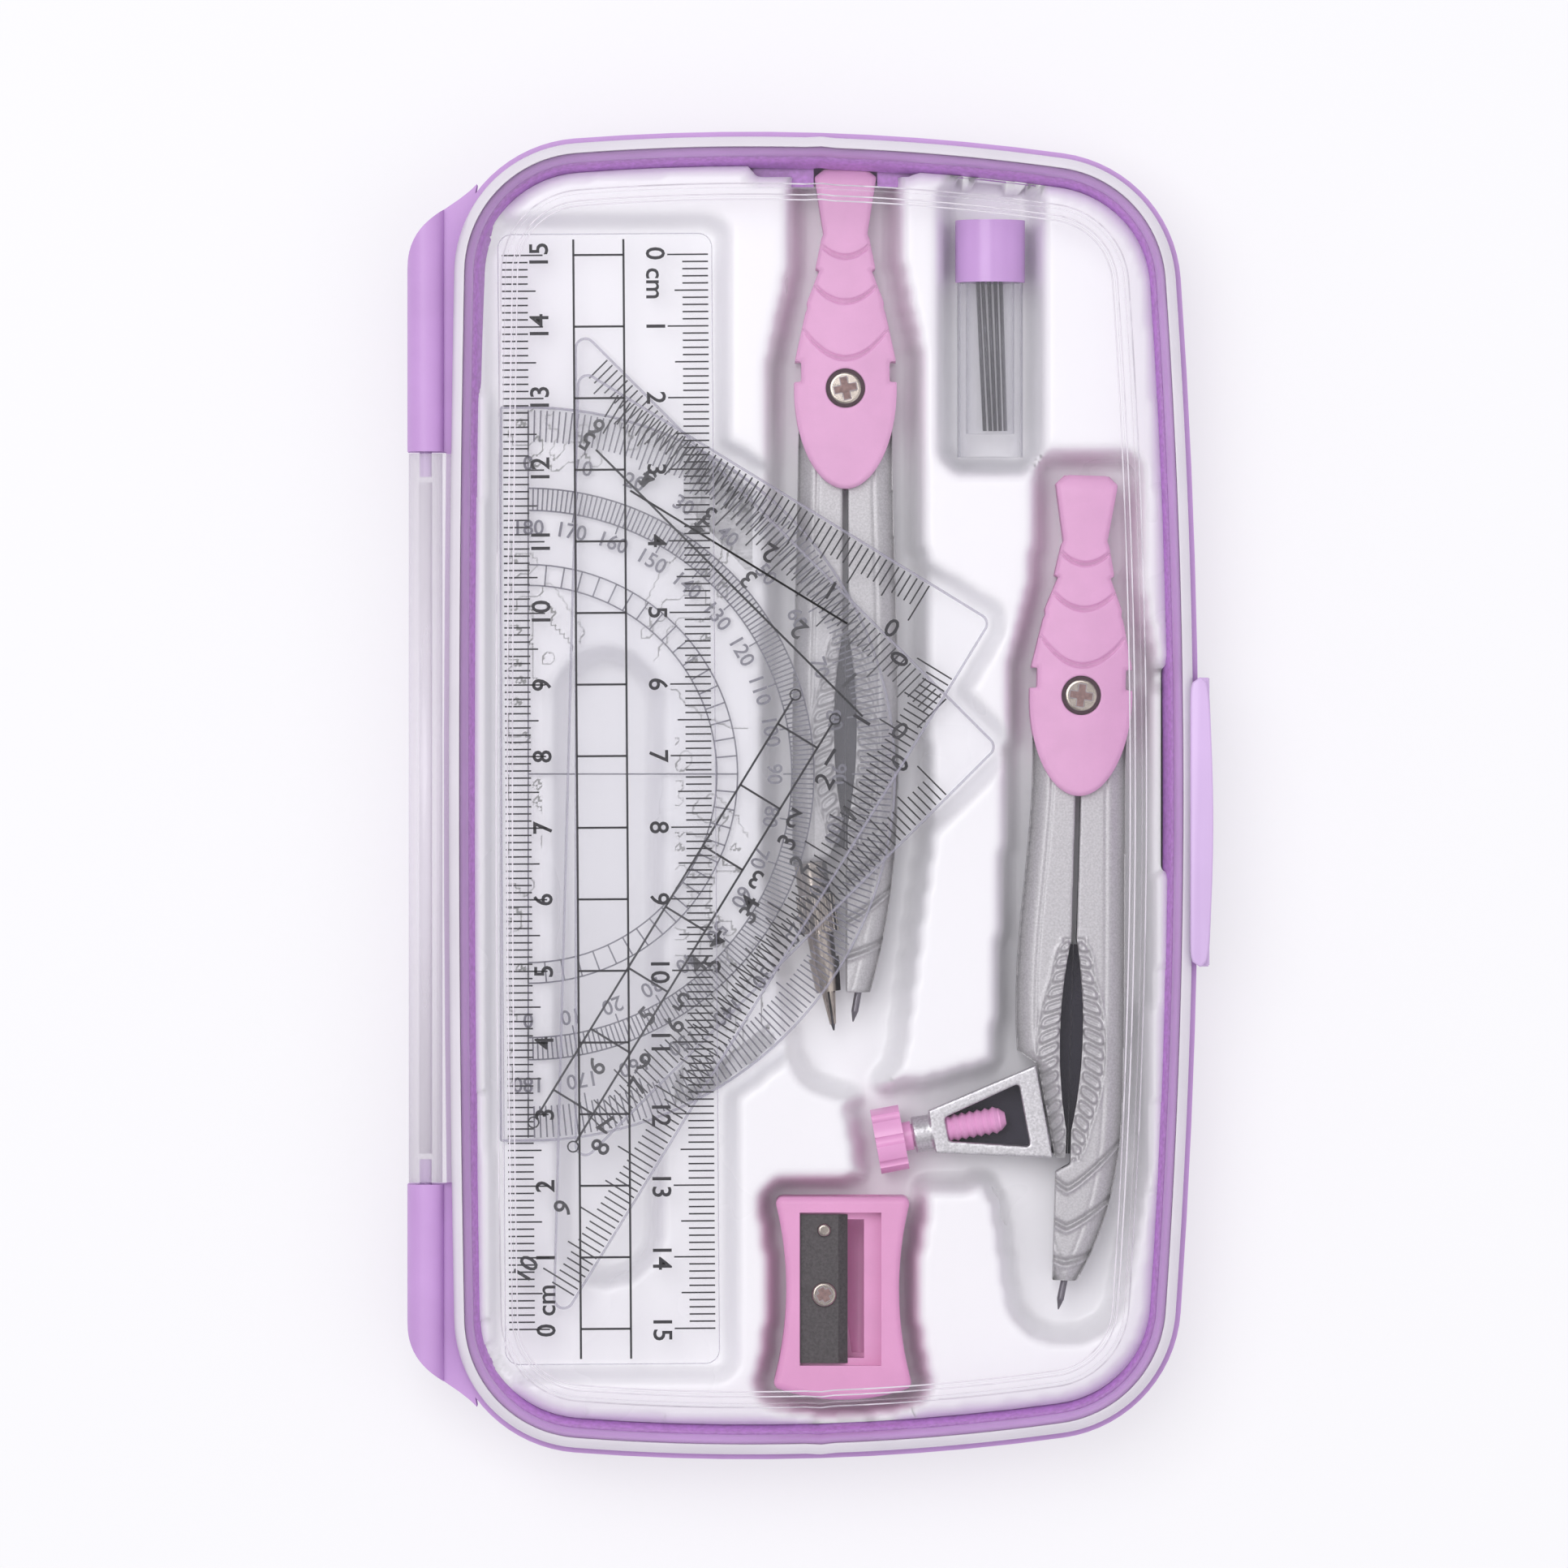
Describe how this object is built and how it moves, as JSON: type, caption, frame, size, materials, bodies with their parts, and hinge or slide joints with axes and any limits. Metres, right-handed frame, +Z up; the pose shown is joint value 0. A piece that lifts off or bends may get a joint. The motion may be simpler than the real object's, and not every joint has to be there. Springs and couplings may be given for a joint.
{
  "type": "drafting instrument case",
  "caption": "Drafting set in a flat lilac case with a clear hinged lid: ruler, protractor, set squares, lead and pencil compasses, lead tube and sharpener in a white tray",
  "frame": {"origin": "Middle of the footprint, hinge and latch included, on the surface that the base stands on.", "axes": "The case lies flat with +Z up; +Y runs along it towards the compass grips, the hinge is on -X and the latch on +X."},
  "size_m": [0.1124, 0.1854, 0.0215],
  "materials": {
    "case_lilac": "gloss",
    "lid_clear": "clear gloss",
    "latch_lilac": "translucent gloss",
    "tray_white": "gloss",
    "tool_clear": "clear gloss",
    "grip_pink": "satin",
    "leg_silver": "metallic satin",
    "holder_silver": "metallic",
    "steel_bright": "polished",
    "steel_dark": "dark",
    "lead_grey": "graphite",
    "knob_pink": "gloss",
    "sharpener_pink": "satin",
    "cap_lilac": "gloss"
  },
  "bodies": {
    "case": {"base_shell": "case_lilac", "hinge_pins": "steel_bright", "latch_pin": "steel_bright", "tray": "tray_white", "ruler": "tool_clear", "protractor": "tool_clear", "set_square_45": "tool_clear", "set_square_60": "tool_clear", "lead_compass_head_front": "grip_pink", "lead_compass_head_back": "grip_pink", "pencil_compass_head_front": "grip_pink", "pencil_compass_head_back": "grip_pink", "pivot_screws": "steel_bright", "pivot_nuts": "steel_bright", "pivot_washers": "steel_bright", "lead_tube": "tool_clear", "spare_leads": "lead_grey", "sharpener_body": "sharpener_pink", "sharpener_blade": "steel_dark", "sharpener_screws": "steel_bright"},
    "lid": {"lid": "lid_clear"},
    "latch": {"latch_flap": "latch_lilac"},
    "tube_cap": {"lead_tube_cap": "cap_lilac"},
    "lead_compass_right_leg": {"lead_compass_needle_leg": "leg_silver", "lead_compass_needle": "steel_bright"},
    "lead_compass_left_leg": {"lead_compass_lead_leg": "leg_silver", "chuck_barrel": "steel_bright", "chuck_nose": "steel_bright", "chuck_collet": "steel_bright", "chuck_lead": "lead_grey"},
    "chuck_grip": {"chuck_collar": "steel_bright"},
    "pencil_compass_right_leg": {"pencil_compass_needle_leg": "leg_silver", "pencil_compass_needle": "steel_bright"},
    "pencil_compass_left_leg": {"pencil_compass_holder_leg": "leg_silver"},
    "pencil_holder": {"pencil_holder_frame": "holder_silver"},
    "holder_screw": {"thumb_screw": "knob_pink"}
  },
  "joints": [
    {"name": "lid_swing", "type": "hinge", "parent": "case", "child": "lid", "pos_m": [-0.05365, 0, 0.015], "axis": [0, -1, 0], "range_deg": [0, 180]},
    {"name": "latch_swing", "type": "hinge", "parent": "case", "child": "latch", "pos_m": [0.05535, -0.0037, 0.0034], "axis": [0, 1, 0], "range_deg": [0, 90]},
    {"name": "tube_cap_slide", "type": "slide", "parent": "case", "child": "tube_cap", "axis": [0, 1, 0], "range_m": [0, 0.0046]},
    {"name": "lead_compass_right_swing", "type": "hinge", "parent": "case", "child": "lead_compass_right_leg", "pos_m": [0.005, 0.057, 0.007], "axis": [0, 0, 1], "range_deg": [0, 1.5]},
    {"name": "lead_compass_left_swing", "type": "hinge", "parent": "case", "child": "lead_compass_left_leg", "pos_m": [0.005, 0.057, 0.007], "axis": [0, 0, 1], "range_deg": [-1.5, 0]},
    {"name": "chuck_turn", "type": "hinge", "parent": "lead_compass_left_leg", "child": "chuck_grip", "pos_m": [0.00112, -0.01673, 0.007], "axis": [0.1392, -0.9903, 0], "continuous": true},
    {"name": "pencil_compass_right_swing", "type": "hinge", "parent": "case", "child": "pencil_compass_right_leg", "pos_m": [0.038, 0.014, 0.007], "axis": [0, 0, 1], "range_deg": [0, 1]},
    {"name": "pencil_compass_left_swing", "type": "hinge", "parent": "case", "child": "pencil_compass_left_leg", "pos_m": [0.038, 0.014, 0.007], "axis": [0, 0, 1], "range_deg": [-1, 0]},
    {"name": "pencil_holder_swivel", "type": "hinge", "parent": "pencil_compass_left_leg", "child": "pencil_holder", "pos_m": [0.03287, -0.04428, 0.007], "axis": [-0.9836, -0.1805, 0], "range_deg": [-10, 10]},
    {"name": "thumb_screw_turn", "type": "hinge", "parent": "pencil_holder", "child": "holder_screw", "pos_m": [0.03287, -0.04428, 0.007], "axis": [-0.9836, -0.1805, 0], "continuous": true}
  ],
  "couplings": [
    {"joint": "lead_compass_left_swing", "follows": "lead_compass_right_swing", "ratio": -1},
    {"joint": "pencil_compass_left_swing", "follows": "pencil_compass_right_swing", "ratio": -1}
  ]
}
